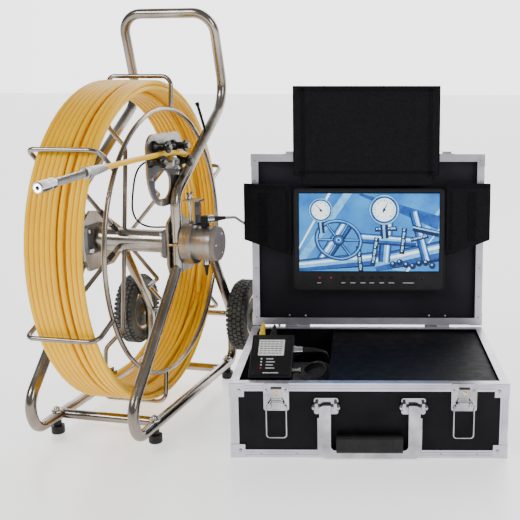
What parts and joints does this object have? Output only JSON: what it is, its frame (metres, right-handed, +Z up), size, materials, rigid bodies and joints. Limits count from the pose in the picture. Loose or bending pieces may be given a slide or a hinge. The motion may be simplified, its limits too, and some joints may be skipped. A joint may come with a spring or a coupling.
{
  "type": "push rod inspection camera",
  "caption": "Drain inspection camera: push rod on a spinning drum in a wheeled tube stand, joined by a lead to a monitor in a hinged carrying case.",
  "frame": {"origin": "middle of the bottom of the whole set, on the floor, the free cords aside", "axes": "+X along the drum's axle from the far side to the slip ring, +Y from the stand's toe to its wheels, +Z up"},
  "size_m": [0.8464, 0.7564, 0.7515],
  "materials": {
    "tube_steel": "polished stainless tube",
    "plate_steel": "satin stainless",
    "bearing_iron": "painted casting",
    "bright_steel": "bright",
    "black_rubber": "matt",
    "satin_aluminium": "satin",
    "cap_plastic": "matt",
    "lead_black": "matt",
    "lead_grey": "satin",
    "roller_black": "glossy",
    "push_rod": "glossy fibreglass",
    "tyre_rubber": "matt",
    "rim_zinc": "gold zinc",
    "case_panel": "pebbled",
    "case_trim": "anodised",
    "deck_black": "matt",
    "control_black": "matt",
    "battery_wrap": "shrink wrap",
    "latch_chrome": "bright",
    "grip_black": "matt",
    "monitor_black": "matt",
    "screen_glass": "glossy",
    "shade_fabric": "woven over board"
  },
  "bodies": {
    "stand": {"handle_tube": "tube_steel", "side_loop_right": "tube_steel", "side_loop_left": "tube_steel", "cross_tubes": "tube_steel", "bearing_plates": "plate_steel", "drum_bearings": "bearing_iron", "stand_fasteners": "bright_steel", "rubber_feet": "black_rubber", "slip_ring_body": "satin_aluminium", "slip_ring_cap": "cap_plastic", "slip_ring_sockets": "lead_black", "brake_bracket": "plate_steel", "guide_plate": "plate_steel", "encoder_body": "satin_aluminium", "push_rod_tail": "push_rod", "rod_fitting": "lead_black", "camera_spring": "bright_steel", "camera_head": "bright_steel", "case_base": "case_panel", "case_base_trim": "case_trim", "deck_panel": "deck_black", "control_box": "control_black", "battery_pack": "battery_wrap", "case_hardware": "latch_chrome", "link_lead_coil": "lead_grey", "link_lead": "lead_grey", "link_plug": "lead_black", "encoder_lead": "lead_grey"},
    "drum": {"drum_axle": "tube_steel", "cage_bars": "tube_steel", "near_ring": "tube_steel", "push_rod_coil": "push_rod"},
    "wheel_right": {"tyre_right": "tyre_rubber", "rim_right": "rim_zinc"},
    "wheel_left": {"tyre_left": "tyre_rubber", "rim_left": "rim_zinc"},
    "brake_screw": {"brake_screw": "bright_steel"},
    "measuring_wheel": {"measuring_wheel": "satin_aluminium"},
    "lid": {"lid_shell": "case_panel", "lid_trim": "case_trim", "monitor_housing": "monitor_black", "screen_panel": "screen_glass"},
    "shade_top": {"shade_top": "shade_fabric"},
    "shade_left": {"shade_left": "shade_fabric"},
    "shade_right": {"shade_right": "shade_fabric"},
    "latch_bail_left": {"latch_bail_left": "latch_chrome"},
    "latch_bail_right": {"latch_bail_right": "latch_chrome"},
    "carrying_handle": {"case_handle": "latch_chrome", "case_handle_grip": "grip_black"},
    "power_switch": {"power_switch": "bright_steel"},
    "guide_roller_1": {"guide_roller_1": "roller_black"},
    "guide_roller_2": {"guide_roller_2": "roller_black"},
    "guide_roller_3": {"guide_roller_3": "roller_black"},
    "guide_roller_4": {"guide_roller_4": "roller_black"},
    "monitor_button_1": {"monitor_button_1": "monitor_black"},
    "monitor_button_2": {"monitor_button_2": "monitor_black"},
    "monitor_button_3": {"monitor_button_3": "monitor_black"},
    "monitor_button_4": {"monitor_button_4": "monitor_black"},
    "monitor_button_5": {"monitor_button_5": "monitor_black"},
    "monitor_button_6": {"monitor_button_6": "monitor_black"}
  },
  "joints": [
    {"name": "drum_spin", "type": "hinge", "parent": "stand", "child": "drum", "pos_m": [-0.2712, -0.0323, 0.329], "axis": [1, 0, 0], "continuous": true},
    {"name": "wheel_right_spin", "type": "hinge", "parent": "stand", "child": "wheel_right", "pos_m": [-0.1462, 0.2137, 0.13], "axis": [1, 0, 0], "continuous": true},
    {"name": "wheel_left_spin", "type": "hinge", "parent": "stand", "child": "wheel_left", "pos_m": [-0.3962, 0.2137, 0.13], "axis": [1, 0, 0], "continuous": true},
    {"name": "guide_roller_1_spin", "type": "hinge", "parent": "stand", "child": "guide_roller_1", "pos_m": [-0.1732, -0.1053, 0.506], "axis": [1, 0, 0], "continuous": true},
    {"name": "guide_roller_2_spin", "type": "hinge", "parent": "stand", "child": "guide_roller_2", "pos_m": [-0.1732, -0.0303, 0.503], "axis": [1, 0, 0], "continuous": true},
    {"name": "guide_roller_3_spin", "type": "hinge", "parent": "stand", "child": "guide_roller_3", "pos_m": [-0.1732, -0.1273, 0.4825], "axis": [1, 0, 0], "continuous": true},
    {"name": "guide_roller_4_spin", "type": "hinge", "parent": "stand", "child": "guide_roller_4", "pos_m": [-0.1732, -0.0163, 0.4755], "axis": [1, 0, 0], "continuous": true},
    {"name": "measuring_wheel_spin", "type": "hinge", "parent": "stand", "child": "measuring_wheel", "pos_m": [-0.1732, -0.0783, 0.478], "axis": [1, 0, 0], "continuous": true},
    {"name": "brake_screw_turn", "type": "hinge", "parent": "stand", "child": "brake_screw", "pos_m": [-0.1582, -0.0323, 0.408], "axis": [0, 0, 1], "range_deg": [-180, 180]},
    {"name": "lid_hinge", "type": "hinge", "parent": "stand", "child": "lid", "pos_m": [0.12297, 0.18044, 0.131], "axis": [0.9759, 0.2181, 0], "range_deg": [0, 45]},
    {"name": "shade_top_fold", "type": "hinge", "parent": "lid", "child": "shade_top", "pos_m": [0.12107, 0.18896, 0.41432], "axis": [0.9759, 0.2181, 0], "range_deg": [0, 95]},
    {"name": "shade_left_fold", "type": "hinge", "parent": "lid", "child": "shade_left", "pos_m": [-0.02382, 0.15184, 0.36152], "axis": [-0.019, 0.0851, 0.9962], "range_deg": [0, 85]},
    {"name": "shade_right_fold", "type": "hinge", "parent": "lid", "child": "shade_right", "pos_m": [0.27286, 0.21815, 0.36152], "axis": [0.019, -0.0851, -0.9962], "range_deg": [0, 85]},
    {"name": "latch_bail_left_swing", "type": "hinge", "parent": "stand", "child": "latch_bail_left", "pos_m": [0.04957, -0.19255, 0.093], "axis": [-0.9759, -0.2181, 0], "range_deg": [0, 150]},
    {"name": "latch_bail_right_swing", "type": "hinge", "parent": "stand", "child": "latch_bail_right", "pos_m": [0.35113, -0.12515, 0.093], "axis": [-0.9759, -0.2181, 0], "range_deg": [0, 150]},
    {"name": "carrying_handle_swing", "type": "hinge", "parent": "stand", "child": "carrying_handle", "pos_m": [0.19932, -0.16113, 0.092], "axis": [-0.9759, -0.2181, 0], "range_deg": [0, 100]},
    {"name": "power_switch_turn", "type": "hinge", "parent": "stand", "child": "power_switch", "pos_m": [0.06403, -0.12887, 0.13455], "axis": [0.9759, 0.2181, 0], "range_deg": [0, 90]},
    {"name": "monitor_button_1_press", "type": "slide", "parent": "lid", "child": "monitor_button_1", "axis": [-0.2173, 0.9722, -0.0872], "range_m": [0, 0.0008], "stiffness_N_per_m": 300},
    {"name": "monitor_button_2_press", "type": "slide", "parent": "lid", "child": "monitor_button_2", "axis": [-0.2173, 0.9722, -0.0872], "range_m": [0, 0.0008], "stiffness_N_per_m": 300},
    {"name": "monitor_button_3_press", "type": "slide", "parent": "lid", "child": "monitor_button_3", "axis": [-0.2173, 0.9722, -0.0872], "range_m": [0, 0.0008], "stiffness_N_per_m": 300},
    {"name": "monitor_button_4_press", "type": "slide", "parent": "lid", "child": "monitor_button_4", "axis": [-0.2173, 0.9722, -0.0872], "range_m": [0, 0.0008], "stiffness_N_per_m": 300},
    {"name": "monitor_button_5_press", "type": "slide", "parent": "lid", "child": "monitor_button_5", "axis": [-0.2173, 0.9722, -0.0872], "range_m": [0, 0.0008], "stiffness_N_per_m": 300},
    {"name": "monitor_button_6_press", "type": "slide", "parent": "lid", "child": "monitor_button_6", "axis": [-0.2173, 0.9722, -0.0872], "range_m": [0, 0.0008], "stiffness_N_per_m": 300}
  ]
}
